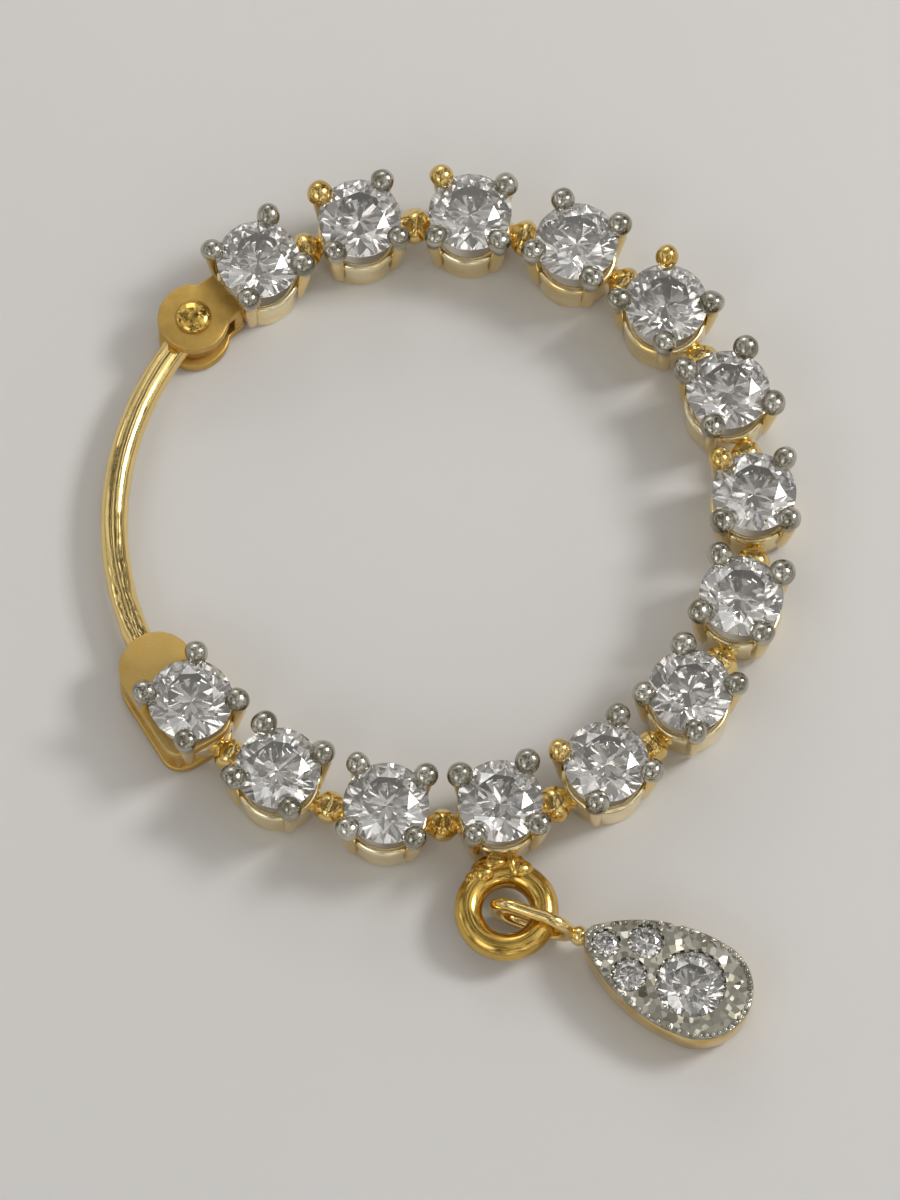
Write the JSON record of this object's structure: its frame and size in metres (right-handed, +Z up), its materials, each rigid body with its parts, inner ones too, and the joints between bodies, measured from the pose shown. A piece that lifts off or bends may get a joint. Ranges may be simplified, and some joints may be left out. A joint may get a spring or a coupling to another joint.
{
  "type": "hinged hoop nose ring",
  "caption": "Hinged hoop nose ring with a row of round stones in prong baskets, a swinging ear wire and a pear-shaped drop.",
  "frame": {"origin": "on the surface it lies on, under the middle of its bounding box", "axes": "+Z up through the hoop, the way the stones face; +Y from the drop across the hoop to its far side; +X to the right, away from the ear wire"},
  "size_m": [0.0216, 0.0282, 0.003],
  "materials": {
    "yellow_gold": "polished yellow gold plating over brass, bright on the prongs, ring, ball and ear wire, satin on the hinge and catch plates",
    "white_rhodium": "grey-white rhodium plating on most prong tips and on the pear's pave top",
    "clear_stone": "polished colourless cubic zirconia, round brilliant cut"
  },
  "bodies": {
    "hoop": {"hoop_frame": "yellow_gold", "hinge_rivet": "yellow_gold", "drop_setting": "yellow_gold", "stone_01": "clear_stone", "stone_02": "clear_stone", "stone_03": "clear_stone", "stone_04": "clear_stone", "stone_05": "clear_stone", "stone_06": "clear_stone", "stone_07": "clear_stone", "stone_08": "clear_stone", "stone_09": "clear_stone", "stone_10": "clear_stone", "stone_11": "clear_stone", "stone_12": "clear_stone", "stone_13": "clear_stone", "stone_14": "clear_stone", "drop_stone_1": "clear_stone", "drop_stone_2": "clear_stone", "drop_stone_3": "clear_stone", "drop_stone_4": "clear_stone"},
    "wire": {"ear_wire": "yellow_gold"}
  },
  "joints": [
    {"name": "ear_wire_hinge", "type": "hinge", "parent": "hoop", "child": "wire", "pos_m": [-0.00798, 0.00932, 0.00093], "axis": [0, 0, -1], "range_deg": [0, 100]}
  ]
}
